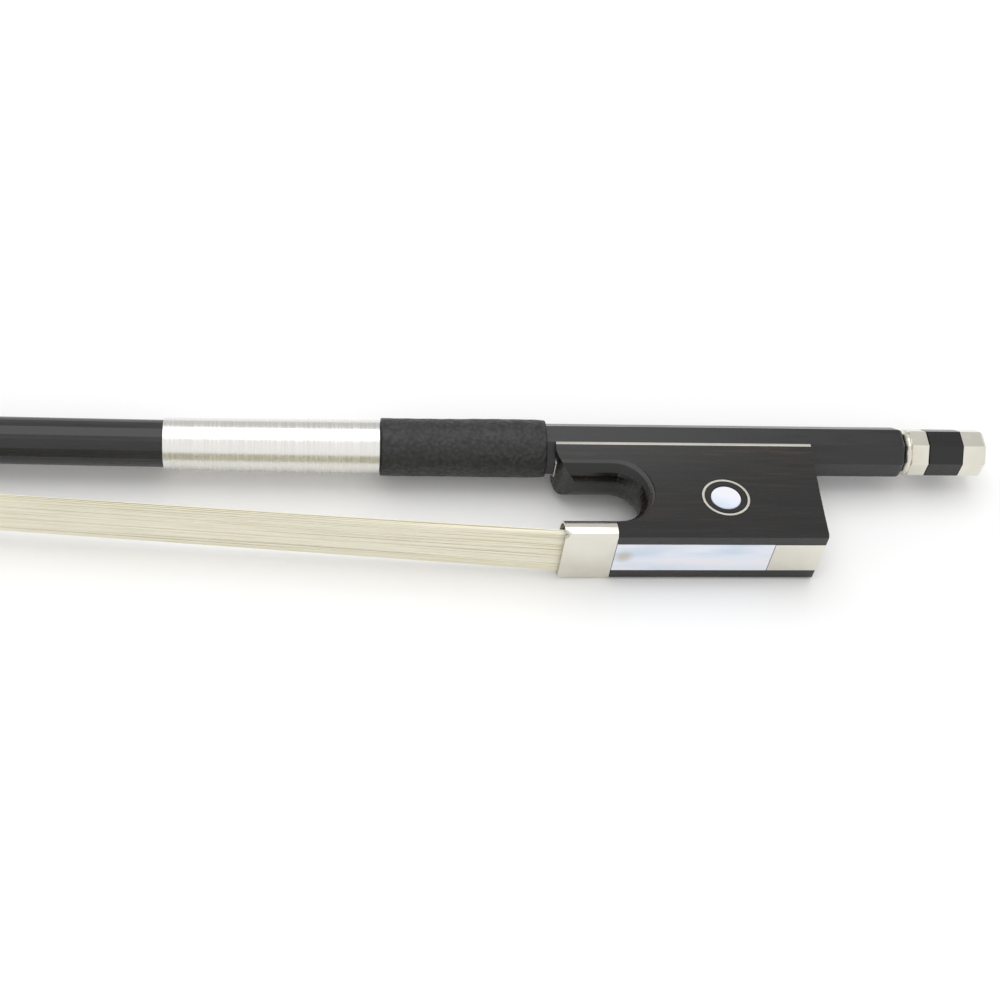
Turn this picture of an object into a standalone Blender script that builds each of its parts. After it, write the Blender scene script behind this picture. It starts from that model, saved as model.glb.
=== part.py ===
"""Violin bow, lying on its side, as an assembly of separate pieces.

Metres, +Z up. +X runs along the handle to the button, and +Y runs from the hair to the stick.
Everything is drawn about the handle's axis: x = 0 is the stick's end face, y = 0 and z = 0 are
the axis itself. One empty then stands the bow on the ground with its middle over the origin.
"""

import math

import bmesh
import bpy
from mathutils import Matrix, Vector

# Fits
INLAY_GAP = 0.00012          # round an inlay and its neighbour
SEAT_GAP = 0.0003            # between pieces that rest on each other out of sight
CUT_OVERRUN = 0.003          # how far a cutter runs past the face that it opens

# Stick
STICK_FLATS = 0.0088         # across the flats of the octagonal handle
STICK_END_ROUND = 0.0010     # rounding of the stick's end face
SHAFT_RADIUS = 0.0043        # round shaft beyond the winding
NECK_RADIUS = 0.0027         # round shaft where it meets the head
OCTAGON_LENGTH = 0.0695      # octagonal stretch of the handle
OCTAGON_FADE = 0.014         # stretch over which the octagon turns round
HANDLE_STRAIGHT = 0.060      # handle before the camber begins
SHAFT_LENGTH = 0.640         # from there to the back of the head
CAMBER_RISE = 0.0485         # rise of the axis over the shaft's length
CAMBER_POWER = 2.29
TAPER_POWER = 1.5
STICK_SIDES = 32
SHAFT_STATIONS = 30

# Bore of the handle, and the slot that the eyelet travels in
BORE_RADIUS = 0.00175
BORE_LENGTH = 0.0525
BORE_SIDES = 25
SLOT_HALF_WIDTH = 0.0025
SLOT_TOP = 0.0024

# Head
HEAD_TILT = math.radians(4.6)
HEAD_DEPTH = 0.0182          # from the shaft's axis to the wooden face under the tip plate
HEAD_LENGTH = 0.0262
HEAD_THROAT = 0.017          # length of the hollow curve behind the face
HEAD_FACE_WIDTHS = ((0.0, 0.0086), (0.009, 0.0101), (0.018, 0.0082), (0.0262, 0.0016))
HEAD_RIDGE_WIDTH = 0.0040
HEAD_PEAK = 0.0065           # where the front ridge starts to fall
TIP_MORTISE = (0.0048, 0.0128)
TIP_MORTISE_DEPTH = 0.0078
TIP_MORTISE_WIDTH = 0.0058
LINER_THICK = 0.0005
TIP_PLATE_THICK = 0.0010
TIP_PLATE_BEAK = 0.0007      # how far the plate stands out past the nose

# Grip
LEATHER_START = 0.0671       # distance from the stick's end face
LEATHER_LENGTH = 0.0300
LEATHER_THICK = 0.00085
LEATHER_SKIVE = 0.0024       # stretch over which the leather thins at the frog
WINDING_LENGTH = 0.0384
WINDING_THICK_START = 0.00050
WINDING_THICK_END = 0.00030
SLEEVE_SIDES = 32
SLEEVE_STATIONS = 8

# Frog
FROG_FRONT = 0.06555         # front corner of the frog's top, from the stick's end face
FROG_HEEL = 0.0182           # heel at the top
HEEL_LEAN = 0.00115          # how much further forward the heel is at the bottom
FROG_DEPTH = 0.0240          # from the axis to the frog's underside
FROG_BOTTOM_HALF = 0.00668
FROG_TOP_HALF = 0.0046
FLARE_POWER = 1.8            # hollow of the cheeks
CORNER_BEVEL = 0.0005
NOSE_DROP = 0.00862          # depth of the thumb projection, from the axis
NOSE_OUTLINE = ((0.0, 0.0), (-0.0001, 0.0025), (0.0003, 0.0041),
                (0.0010, 0.0055), (0.0019, 0.00655), (0.0031, 0.00712))
THROAT_REAR = 0.0510         # deepest point of the throat, from the stick's end face
THROAT_RADIUS = 0.0047
THROAT_FLAT_HALF = 0.0009    # middle of the throat that is not rounded over
THROAT_ROUND_HALF = 0.00475  # where the rounding ends at the cheek
THROAT_ROUND_UP = 0.0030
THROAT_ROUND_BACK = 0.0022

# Ferrule, a D-shaped band
FERRULE_REAR = 0.05665
FERRULE_LENGTH = 0.0092
FERRULE_HALF_WIDTH = 0.00663
FERRULE_D_HEIGHT = 0.0044    # height of the half ellipse
FERRULE_SIDE = 0.0014        # from the underside up to the ellipse's centre
FERRULE_WALL = 0.0004
FERRULE_PLATE = 0.0007
FERRULE_CORNER = 0.0010      # corners cut off the plate's front edge
D_SEGMENTS = 14

# Lining between frog and stick
LINING_GAP = 0.00012
LINING_THICK = 0.0004
LINING_PIN_RADIUS = 0.0005
LINING_PIN_LENGTH = 0.0026
LINING_PINS = (0.0610, 0.0235)

# Slide, heel plates and their pins
SLIDE_HALF_WIDTH = 0.00395
SLIDE_SPREAD = 0.0007        # how much wider the dovetail is at its top
PEARL_THICK = 0.0008
SLIDE_THICK = 0.0019
SLIDE_REAR = 0.0284
HEEL_PLATE_THICK = 0.0007
HEEL_BACK_TOP = 0.0072       # upper end of the back plate, from the axis
HEEL_PIN_RADIUS = 0.0005
HEEL_PIN_LENGTH = 0.0028
HEEL_BACK_PINS = (0.0100, 0.0185)

# Eyes
EYE_X = 0.03626
EYE_DROP = 0.01474
EYE_RING_RADIUS = 0.0043
EYE_RING_LINE = 0.00043
EYE_PEARL_RADIUS = 0.0027
EYE_DEPTH = 0.0010
EYE_SEGMENTS = 48

# Mortise in the frog, eyelet, screw and button
FROG_MORTISE = (0.0485, 0.0415)
FROG_MORTISE_TOP = 0.0150
FROG_MORTISE_HALF = 0.0042
EYELET_X = 0.0380
EYELET_HALF_LENGTH = 0.0026
EYELET_HALF_WIDTH = 0.0021
EYELET_HEIGHT = 0.0021
EYELET_FOOT = 0.0039          # underside of its flat part, from the axis
EYELET_SHANK_RADIUS = 0.0014
EYELET_SHANK_END = 0.0118
SCREW_RADIUS = 0.0014
SCREW_TIP = 0.0500
RUN_CLEARANCE = 0.00027
TRAVEL_IN = 0.0059           # frog's travel as the hair tightens
TRAVEL_OUT = 0.0007
BUTTON_FLATS = 0.00826
BUTTON_GAP = 0.00015
COLLAR_LENGTH = 0.0011
COLLAR_RADIUS = 0.00432
FRONT_RING_LENGTH = 0.0033
CORE_LENGTH = 0.0063
CAP_LENGTH = 0.0045
CAP_DOME = 0.0006
BUTTON_EDGE = 0.00012

# Hair
HAIR_THICK = 0.0010
HAIR_LIFT = 0.00025          # hair above the ferrule's plate
HAIR_MOUTH_WIDTH = 0.0120
HAIR_RUN_WIDTH = 0.0104
HAIR_TIP_WIDTH = 0.0062
HAIR_GATHER = 0.035          # length over which the ribbon draws in behind the ferrule
HAIR_STATIONS = 26

bow = bpy.data.collections.new("violin_bow")
cutters = bpy.data.collections.new("cutters")


def clear_scene():
    for obj in list(bpy.data.objects):
        bpy.data.objects.remove(obj, do_unlink=True)
    bpy.context.scene.collection.children.link(bow)
    bpy.context.scene.collection.children.link(cutters)
    cutters.hide_render = True


def empty(name, parent=None):
    """A body's frame; its X axis lies on the handle's axis."""
    obj = bpy.data.objects.new(name, None)
    obj.empty_display_size = 0.01
    bow.objects.link(obj)
    obj.parent = parent
    return obj


def material(name, colour, roughness, metallic=0.0):
    found = bpy.data.materials.get(name) or bpy.data.materials.new(name)
    found.use_nodes = True
    shader = found.node_tree.nodes["Principled BSDF"]
    shader.inputs["Base Color"].default_value = (*colour, 1.0)
    shader.inputs["Roughness"].default_value = roughness
    shader.inputs["Metallic"].default_value = metallic
    return found


# Building blocks

def object_from(bm, name):
    """Turns a bmesh into an object that belongs to no collection yet."""
    bmesh.ops.recalc_face_normals(bm, faces=bm.faces)
    mesh = bpy.data.meshes.new(name)
    bm.to_mesh(mesh)
    bm.free()
    return bpy.data.objects.new(name, mesh)


def as_part(obj, body, finish, smooth_angle=None):
    bow.objects.link(obj)
    obj.parent = body
    obj.data.materials.clear()
    obj.data.materials.append(finish)
    if smooth_angle is not None:
        obj.data.shade_smooth()
        obj.data.set_sharp_from_angle(angle=math.radians(smooth_angle))
    return obj


def as_cutter(obj, body):
    cutters.objects.link(obj)
    obj.parent = body
    obj.hide_render = True
    obj.display_type = "WIRE"
    return obj


def combine(target, other, operation="DIFFERENCE"):
    modifier = target.modifiers.new(other.name, "BOOLEAN")
    modifier.operation = operation
    modifier.solver = "EXACT"
    modifier.object = other


def loft(name, rings, closed=False):
    """Skin through rings of equal count; a closed loft joins its last ring to its first."""
    bm = bmesh.new()
    loops = [[bm.verts.new(point) for point in ring] for ring in rings]
    count = len(rings[0])
    pairs = list(zip(loops, loops[1:]))
    if closed:
        pairs.append((loops[-1], loops[0]))
    else:
        bm.faces.new(loops[0])
        bm.faces.new(loops[-1])
    for near, far in pairs:
        for i in range(count):
            j = (i + 1) % count
            bm.faces.new((near[i], near[j], far[j], far[i]))
    return object_from(bm, name)


def outline_solid(name, outlines, start, end, turn=None):
    """Flat outlines in XY, filled and given a thickness from start to end along Z.

    turn carries the finished solid from there to its place.
    """
    curve = bpy.data.curves.new(name, "CURVE")
    curve.dimensions = "2D"
    curve.fill_mode = "BOTH"
    curve.extrude = (end - start) / 2
    for outline in outlines:
        spline = curve.splines.new("POLY")
        spline.points.add(len(outline) - 1)
        for point, (x, y) in zip(spline.points, outline):
            point.co = (x, y, 0.0, 1.0)
        spline.use_cyclic_u = True
    drawn = bpy.data.objects.new(name, curve)
    bow.objects.link(drawn)
    evaluated = drawn.evaluated_get(bpy.context.evaluated_depsgraph_get())
    mesh = bpy.data.meshes.new_from_object(evaluated)
    bpy.data.objects.remove(drawn, do_unlink=True)
    bm = bmesh.new()
    bm.from_mesh(mesh)
    bpy.data.meshes.remove(mesh)
    bmesh.ops.remove_doubles(bm, verts=bm.verts, dist=1e-7)
    bmesh.ops.translate(bm, verts=bm.verts, vec=(0.0, 0.0, (start + end) / 2))
    if turn is not None:
        bmesh.ops.transform(bm, matrix=turn, verts=bm.verts)
    return object_from(bm, name)


# Drawn in (z, y) and extruded along X
ALONG_X = Matrix(((0, 0, 1, 0), (0, 1, 0, 0), (1, 0, 0, 0), (0, 0, 0, 1)))


def bar(name, outlines, x_start, x_end):
    """A section in (z, y), run along the handle from x_start to x_end."""
    return outline_solid(name, outlines, x_start, x_end, ALONG_X)


def box(name, low, high):
    bm = bmesh.new()
    bmesh.ops.create_cube(bm, size=1.0)
    size = Vector(high) - Vector(low)
    bmesh.ops.scale(bm, vec=size, verts=bm.verts)
    bmesh.ops.translate(bm, vec=Vector(low) + size / 2, verts=bm.verts)
    return object_from(bm, name)


def rod(name, radius, length, centre, direction, sides=24):
    """A round bar, placed by its object's location and rotation."""
    bm = bmesh.new()
    bmesh.ops.create_cone(bm, cap_ends=True, segments=sides, radius1=radius, radius2=radius, depth=length)
    obj = object_from(bm, name)
    obj.location = centre
    obj.rotation_euler = Vector((0.0, 0.0, 1.0)).rotation_difference(Vector(direction)).to_euler()
    return obj


def turned(name, profile, sides, closed=False):
    """A profile of (radius, height) points, turned about Z with a Screw modifier."""
    bm = bmesh.new()
    points = [bm.verts.new((radius, 0.0, height)) for radius, height in profile]
    for near, far in zip(points, points[1:]):
        bm.edges.new((near, far))
    if closed:
        bm.edges.new((points[-1], points[0]))
    obj = object_from(bm, name)
    screw = obj.modifiers.new("turn", "SCREW")
    screw.steps = sides
    screw.render_steps = sides
    screw.use_merge_vertices = True
    screw.merge_threshold = 0.00001
    return obj


def mirrored(half):
    """Closes an outline given on its +X side, from top to bottom."""
    return list(half) + [(-x, y) for x, y in reversed(half)]


def ease(value):
    """Smooth step from 0 to 1."""
    value = min(max(value, 0.0), 1.0)
    return value * value * (3 - 2 * value)


def mix(low, high, share):
    return low + (high - low) * share


# The stick's axis and the head's own frame

def along_camber(x):
    return min(max((-x - HANDLE_STRAIGHT) / SHAFT_LENGTH, 0.0), 1.0)


def axis_height(x):
    return CAMBER_RISE * along_camber(x) ** CAMBER_POWER


def lean(x):
    """Tilt of the stick's sections, nil at the handle and the head's own at the head."""
    return HEAD_TILT * ease(along_camber(x))


def upright(tilt):
    return Vector((math.sin(tilt), math.cos(tilt), 0.0))


def octagon_radius(angle, flats):
    eighth = math.radians(45)
    return flats / 2 / math.cos((angle + eighth / 2) % eighth - eighth / 2)


def shaft_radius(x):
    return NECK_RADIUS + (SHAFT_RADIUS - NECK_RADIUS) * (1 - along_camber(x) ** TAPER_POWER)


def stick_radius(x, angle):
    roundness = ease((-x - OCTAGON_LENGTH) / OCTAGON_FADE)
    return mix(octagon_radius(angle, STICK_FLATS), shaft_radius(x), roundness)


def ring_about_axis(x, radius_at, sides):
    """A ring round the stick at x; radius_at gives its radius at an angle from the underside."""
    centre = Vector((x, axis_height(x), 0.0))
    up = upright(lean(x))
    ring = []
    for i in range(sides):
        angle = 2 * math.pi * i / sides
        radius = radius_at(angle)
        ring.append(centre - up * radius * math.cos(angle) + Vector((0.0, 0.0, radius * math.sin(angle))))
    return ring


HEAD_BACK_X = -(HANDLE_STRAIGHT + SHAFT_LENGTH)
HEAD_UP = upright(HEAD_TILT)
HEAD_FORWARD = Vector((-HEAD_UP.y, HEAD_UP.x, 0.0))
HEAD_ORIGIN = Vector((HEAD_BACK_X, CAMBER_RISE, 0.0)) - HEAD_UP * HEAD_DEPTH


def head_point(forward, up, side=0.0):
    """A point of the head: forward to the nose and up from the wooden face."""
    return HEAD_ORIGIN + HEAD_FORWARD * forward + HEAD_UP * up + Vector((0.0, 0.0, side))


HEAD_FRAME = Matrix((
    (HEAD_FORWARD.x, HEAD_UP.x, 0.0, HEAD_ORIGIN.x),
    (HEAD_FORWARD.y, HEAD_UP.y, 0.0, HEAD_ORIGIN.y),
    (0.0, 0.0, -1.0, 0.0),
    (0.0, 0.0, 0.0, 1.0),
))


def bezier(points, share):
    """A point of the cubic through four control points."""
    a, b, c, d = points
    rest = 1 - share
    weights = (rest ** 3, 3 * rest * rest * share, 3 * rest * share * share, share ** 3)
    return tuple(sum(w * p[axis] for w, p in zip(weights, (a, b, c, d))) for axis in (0, 1))


def smooth_table(table, place):
    """Smooth curve through a short list of (place, value)."""
    last = len(table) - 1
    span = max(i for i in range(last) if place >= table[i][0] or i == 0)
    points = [table[min(max(span + step, 0), last)][1] for step in (-1, 0, 1, 2)]
    share = min(max((place - table[span][0]) / (table[span + 1][0] - table[span][0]), 0.0), 1.0)
    before, start, end, after = points
    slope_in = (end - before) / 2
    slope_out = (after - start) / 2
    square = share * share
    cube = square * share
    return ((2 * cube - 3 * square + 1) * start + (cube - 2 * square + share) * slope_in
            + (3 * square - 2 * cube) * end + (cube - square) * slope_out)


def face_half_width(forward):
    return smooth_table(HEAD_FACE_WIDTHS, forward) / 2


def head_axis(forward):
    """Height of the shaft's axis above the wooden face, carried on through the head."""
    slope = math.atan(CAMBER_RISE * CAMBER_POWER / SHAFT_LENGTH) - HEAD_TILT
    return HEAD_DEPTH + forward * math.tan(slope)


def head_ring(forward, low, high, squareness):
    """A section of the head, from a round shaft (0) to a hatchet (1)."""
    ring = []
    for i in range(STICK_SIDES):
        angle = 2 * math.pi * i / STICK_SIDES
        share = (1 - math.cos(angle)) / 2
        side = math.sin(angle)
        wedge = mix(face_half_width(forward), HEAD_RIDGE_WIDTH / 2, share ** 0.8)
        fullness = 5.2 if share < 0.5 else 1.25
        corner = min(abs(side) * fullness, 1.0)
        width = mix(abs(side) * NECK_RADIUS, wedge * corner, squareness)
        ring.append(head_point(forward, mix(low, high, share), math.copysign(width, side) if corner else 0.0))
    return ring


def head_rings():
    """Sections from the hollow behind the face to the nose."""
    overcut = CUT_OVERRUN / 2
    start = -HEAD_THROAT
    under = head_axis(start) - NECK_RADIUS
    hollow = ((start, under), (start * 0.42, under * 0.99), (start * 0.10, under * 0.62), (0.0, 0.0))
    rings = []
    for i in range(1, 9):
        forward, low = bezier(hollow, i / 8)
        squareness = ease(i / 8)
        rings.append(head_ring(forward, low - overcut * squareness, head_axis(forward) + NECK_RADIUS, squareness))
    peak = (HEAD_PEAK, head_axis(HEAD_PEAK) + NECK_RADIUS)
    rings.append(head_ring(HEAD_PEAK * 0.5, -overcut, head_axis(HEAD_PEAK * 0.5) + NECK_RADIUS, 1.0))
    ridge = (peak, (HEAD_LENGTH * 0.56, peak[1]), (HEAD_LENGTH * 0.66, peak[1] * 0.36), (HEAD_LENGTH, 0.0009))
    for i in range(11):
        forward, high = bezier(ridge, i / 10)
        rings.append(head_ring(forward, -overcut, high, 1.0))
    return rings


def stick_rings():
    rings = []
    for i in range(5):
        angle = math.radians(90 * i / 4)
        inset = STICK_END_ROUND * (1 - math.sin(angle))
        x = -STICK_END_ROUND * (1 - math.cos(angle))
        shrink = 1 - inset / (STICK_FLATS / 2)
        rings.append(ring_about_axis(x, lambda a, s=shrink: s * octagon_radius(a, STICK_FLATS), STICK_SIDES))
    stops = [-OCTAGON_LENGTH - OCTAGON_FADE * i / 6 for i in range(7)]
    last = HEAD_BACK_X + HEAD_THROAT + 0.004
    rest = [mix(stops[-1], last, i / SHAFT_STATIONS) for i in range(1, SHAFT_STATIONS + 1)]
    for x in stops + rest:
        rings.append(ring_about_axis(x, lambda a, place=x: stick_radius(place, a), STICK_SIDES))
    return rings + head_rings()


def head_slab(name, forward, up, half_width):
    """A straight block in the head's frame."""
    outline = [(forward[0], up[0]), (forward[1], up[0]), (forward[1], up[1]), (forward[0], up[1])]
    return outline_solid(name, [outline], -half_width, half_width, HEAD_FRAME)


def make_stick(body):
    stick = as_part(loft("stick", stick_rings()), body,
                    material("black satin stick", (0.032, 0.033, 0.036), 0.34), 30)
    bore = rod("stick_bore", BORE_RADIUS, BORE_LENGTH + CUT_OVERRUN,
               ((CUT_OVERRUN - BORE_LENGTH) / 2, 0.0, 0.0), (1, 0, 0), BORE_SIDES)
    reach = EYELET_HALF_LENGTH + SEAT_GAP
    slot = box("eyelet_slot", (-EYELET_X - reach - TRAVEL_OUT, -STICK_FLATS, -SLOT_HALF_WIDTH),
               (-EYELET_X + reach + TRAVEL_IN, SLOT_TOP, SLOT_HALF_WIDTH))
    face = head_slab("head_face_cut", (-HEAD_THROAT, HEAD_LENGTH + CUT_OVERRUN), (-HEAD_DEPTH, 0.0), 0.02)
    mortise = head_slab("head_mortise_cut", TIP_MORTISE, (-CUT_OVERRUN, TIP_MORTISE_DEPTH), TIP_MORTISE_WIDTH / 2)
    for cutter in (slot, bore, face, mortise):
        combine(stick, as_cutter(cutter, body))
    return stick


# Grip

def sleeve(name, x_start, x_end, outer_at, inner_at):
    """A tube round the cambered stick."""
    stations = [mix(x_start, x_end, i / SLEEVE_STATIONS) for i in range(SLEEVE_STATIONS + 1)]
    outside = [ring_about_axis(x, lambda a, place=x: outer_at(place), SLEEVE_SIDES) for x in stations]
    inside = [ring_about_axis(x, lambda a, place=x: inner_at(place), SLEEVE_SIDES) for x in stations]
    return loft(name, outside + inside[::-1], closed=True)


def stick_clear_radius(x):
    """Smallest round bore that clears the stick at x."""
    corner = max(stick_radius(x, math.radians(22.5)), stick_radius(x, 0.0))
    return corner + INLAY_GAP


def make_grip(body):
    start = -LEATHER_START
    end = start - LEATHER_LENGTH

    def leather_outside(x):
        skive = min((start - x) / LEATHER_SKIVE, 1.0)
        full = max(stick_clear_radius(x), SHAFT_RADIUS + INLAY_GAP) + LEATHER_THICK
        thin = stick_clear_radius(x) + LEATHER_THICK * 0.4
        return mix(thin, min(full, STICK_FLATS / 2 + LEATHER_THICK + INLAY_GAP), math.sin(math.radians(90) * skive))

    leather = sleeve("thumb_leather", start, end, leather_outside, stick_clear_radius)
    as_part(leather, body, material("black grained leather", (0.045, 0.045, 0.047), 0.62), 50)
    wind_start = end - INLAY_GAP
    wind_end = wind_start - WINDING_LENGTH

    def winding_outside(x):
        return stick_clear_radius(x) + mix(WINDING_THICK_START, WINDING_THICK_END, (wind_start - x) / WINDING_LENGTH)

    winding = sleeve("winding", wind_start, wind_end, winding_outside, stick_clear_radius)
    as_part(winding, body, material("silver wire", (0.80, 0.79, 0.76), 0.30, 1.0), 50)


# Tip

def tip_outline(grow, beak):
    """Outline of the head's face, from the back edge round the nose."""
    steps = 12
    length = HEAD_LENGTH + beak
    half = []
    for i in range(steps + 1):
        forward = length * i / steps
        half.append((forward, face_half_width(forward * HEAD_LENGTH / length) + grow))
    return half + [(x, -y) for x, y in reversed(half)]


# Carries an outline in (forward, side) to the head's face
FACE_FRAME = HEAD_FRAME @ Matrix(((1, 0, 0, 0), (0, 0, 1, 0), (0, -1, 0, 0), (0, 0, 0, 1)))


def mortise_outline(gap):
    half = TIP_MORTISE_WIDTH / 2 + gap
    back, front = TIP_MORTISE[0] - gap, TIP_MORTISE[1] + gap
    return [(back, -half), (front, -half), (front, half), (back, half)]


def make_tip(body):
    liner_top = -INLAY_GAP
    liner_bottom = liner_top - LINER_THICK
    plate_top = liner_bottom - INLAY_GAP
    plate_bottom = plate_top - TIP_PLATE_THICK
    liner = outline_solid("tip_liner", [tip_outline(0.0, 0.0), mortise_outline(0.0)],
                          liner_bottom, liner_top, FACE_FRAME)
    as_part(liner, body, material("black liner", (0.02, 0.02, 0.02), 0.5))
    plate = outline_solid("tip_plate", [tip_outline(0.0001, TIP_PLATE_BEAK), mortise_outline(0.0)],
                          plate_bottom, plate_top, FACE_FRAME)
    as_part(plate, body, material("bone", (0.80, 0.76, 0.66), 0.35))
    half = TIP_MORTISE_WIDTH / 2 - SEAT_GAP
    hair_front = TIP_MORTISE[0] + 2 * SEAT_GAP + HAIR_THICK
    knot_bottom = TIP_MORTISE_DEPTH * 0.46
    knot = head_slab("tip_knot", (TIP_MORTISE[0] + SEAT_GAP, TIP_MORTISE[1] - 0.0022),
                     (knot_bottom, TIP_MORTISE_DEPTH - SEAT_GAP), half)
    soften(knot, 0.0006)
    as_part(knot, body, material("bound hair", (0.70, 0.62, 0.40), 0.7))
    plug_front = TIP_MORTISE[1] - SEAT_GAP
    plug = head_slab("tip_plug", (hair_front + SEAT_GAP, plug_front),
                     (knot_bottom * 0.45, knot_bottom - SEAT_GAP), half)
    as_part(plug, body, material("maple", (0.72, 0.56, 0.36), 0.6))
    wedge = outline_solid("tip_wedge", [[
        (hair_front + SEAT_GAP, knot_bottom * 0.45 - SEAT_GAP),
        (plug_front, knot_bottom * 0.45 - SEAT_GAP),
        (plug_front, plate_bottom),
        (hair_front + SEAT_GAP * 2, plate_bottom),
    ]], -half, half, HEAD_FRAME)
    as_part(wedge, body, material("maple", (0.72, 0.56, 0.36), 0.6))


def soften(obj, width):
    bevel = obj.modifiers.new("rounding", "BEVEL")
    bevel.width = width
    bevel.segments = 2
    bevel.limit_method = "ANGLE"
    return bevel


# Hair

def hair_width(travel, length):
    """Width of the ribbon at a distance from the ferrule's mouth."""
    gathered = mix(HAIR_RUN_WIDTH, HAIR_TIP_WIDTH + 0.0014, max(travel, 0.0) / length)
    return gathered + (HAIR_MOUTH_WIDTH - HAIR_RUN_WIDTH) * math.exp(-max(travel, 0.0) / HAIR_GATHER)


def hair_line():
    """Centre line of the ribbon in the XY plane, with its width and thickness, frog to tip."""
    mortise_front = -FROG_MORTISE[0] + SEAT_GAP + HAIR_THICK / 2
    channel = -FROG_DEPTH + SLIDE_THICK + SEAT_GAP + HAIR_THICK / 2
    mouth_y = -FROG_DEPTH + FERRULE_PLATE + HAIR_LIFT + HAIR_THICK / 2
    mouth = Vector((-FERRULE_REAR - FERRULE_LENGTH, mouth_y))
    inside = 2 * (FROG_MORTISE_HALF - SEAT_GAP)
    knot_y = -FROG_MORTISE_TOP - 0.0036 - SEAT_GAP
    line = [
        (Vector((mortise_front, knot_y)), inside, HAIR_THICK),
        (Vector((mortise_front, channel + 0.0016)), inside, HAIR_THICK),
        (Vector((mortise_front - 0.0005, channel + 0.0002)), inside, HAIR_THICK),
        (Vector((mortise_front - 0.0016, channel)), inside, HAIR_THICK),
        (Vector((-FERRULE_REAR - 0.0004, channel)), inside, HAIR_THICK),
        (Vector((-FERRULE_REAR - 0.0026, mouth_y)), HAIR_MOUTH_WIDTH - 0.0008, HAIR_THICK),
        (mouth, HAIR_MOUTH_WIDTH, HAIR_THICK),
    ]
    plate_back = head_point(-0.0005, -(LINER_THICK + TIP_PLATE_THICK + 2 * INLAY_GAP + SEAT_GAP) - HAIR_THICK / 2)
    far = Vector((plate_back.x, plate_back.y))
    length = (far - mouth).length
    for i in range(1, HAIR_STATIONS + 1):
        share = (i / HAIR_STATIONS) ** 1.5
        line.append((mouth.lerp(far, share), hair_width(length * share, length), HAIR_THICK))
    entry = TIP_MORTISE[0] + 2 * SEAT_GAP + HAIR_THICK / 2
    depth = LINER_THICK + TIP_PLATE_THICK + 2 * INLAY_GAP + SEAT_GAP + HAIR_THICK / 2
    inner = TIP_MORTISE_WIDTH - 2 * SEAT_GAP
    for forward, up in ((entry - 0.0016, -depth), (entry - 0.0004, -depth + 0.0005), (entry, -depth + 0.0016),
                        (entry, TIP_MORTISE_DEPTH * 0.46 - SEAT_GAP)):
        spot = head_point(forward, up)
        width = min(inner, HAIR_TIP_WIDTH) if forward > entry - 0.001 else mix(inner, HAIR_TIP_WIDTH + 0.0014, 0.5)
        line.append((Vector((spot.x, spot.y)), width, HAIR_THICK))
    return line


def make_hair(body):
    line = hair_line()
    rings = []
    for i, (spot, width, thick) in enumerate(line):
        before = line[max(i - 1, 0)][0]
        after = line[min(i + 1, len(line) - 1)][0]
        along = (after - before).normalized()
        across = Vector((-along.y, along.x))
        ring = []
        for side, height in ((-0.5, 0.0), (-0.47, -0.36), (-0.25, -0.5), (0.25, -0.5), (0.47, -0.36),
                             (0.5, 0.0), (0.47, 0.36), (0.25, 0.5), (-0.25, 0.5), (-0.47, 0.36)):
            offset = across * (height * thick)
            ring.append((spot.x + offset.x, spot.y + offset.y, side * width))
        rings.append(ring)
    hair = loft("hair", rings)
    as_part(hair, body, material("horsehair", (0.74, 0.70, 0.54), 0.5), 40)


# Frog

def cheek_half(y):
    """Half width of the frog at a height, hollow between its top and its underside."""
    top = -STICK_FLATS / 2 * math.tan(math.radians(22.5))
    share = min(max((top - y) / (top + FROG_DEPTH), 0.0), 1.0)
    return FROG_TOP_HALF + (FROG_BOTTOM_HALF - FROG_TOP_HALF) * share ** FLARE_POWER


def cheek_tilt(y):
    step = 0.0005
    return math.atan((cheek_half(y - step) - cheek_half(y + step)) / (2 * step))


def heel_x(y):
    """The heel leans forward towards the underside."""
    return -FROG_HEEL - HEEL_LEAN * min(max(-y / FROG_DEPTH, 0.0), 1.2)


def d_top(z, shrink=0.0):
    """Height of the D-shaped band's outside at z."""
    half = FERRULE_HALF_WIDTH - shrink
    share = min(abs(z) / half, 1.0)
    return -FROG_DEPTH + FERRULE_SIDE + (FERRULE_D_HEIGHT - shrink) * math.sqrt(1 - share * share)


def d_half_width(y, shrink):
    """Half width of the D at a height, inside by shrink."""
    share = max((y + FROG_DEPTH - FERRULE_SIDE) / (FERRULE_D_HEIGHT - shrink), 0.0)
    return (FERRULE_HALF_WIDTH - shrink) * math.sqrt(1 - share * share)


def d_outline(shrink, bottom, bevel):
    """The D in (z, y): half an ellipse on short upright sides, cut off level at the bottom."""
    half_width = FERRULE_HALF_WIDTH - shrink
    centre = -FROG_DEPTH + FERRULE_SIDE
    height = FERRULE_D_HEIGHT - shrink
    reach = max((bottom - centre) / height, 0.0)
    lowest = math.asin(reach)
    half = []
    for i in range(D_SEGMENTS + 1):
        angle = mix(math.radians(90), lowest, i / D_SEGMENTS)
        half.append((half_width * math.cos(angle), centre + height * math.sin(angle)))
    half[0] = (0.0, centre + height)
    if bottom < centre:
        half += [(half_width, bottom + bevel), (half_width - bevel, bottom)] if bevel else [(half_width, bottom)]
    return half + [(-z, y) for z, y in reversed(half[1:])]


def frog_section():
    half = []
    steps = 12
    floor = -FROG_DEPTH + CORNER_BEVEL
    for i in range(steps + 1):
        y = mix(-0.0010, floor, i / steps)
        half.append((cheek_half(y), y))
    half.append((cheek_half(-FROG_DEPTH) - CORNER_BEVEL, -FROG_DEPTH))
    return mirrored(half)


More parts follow.
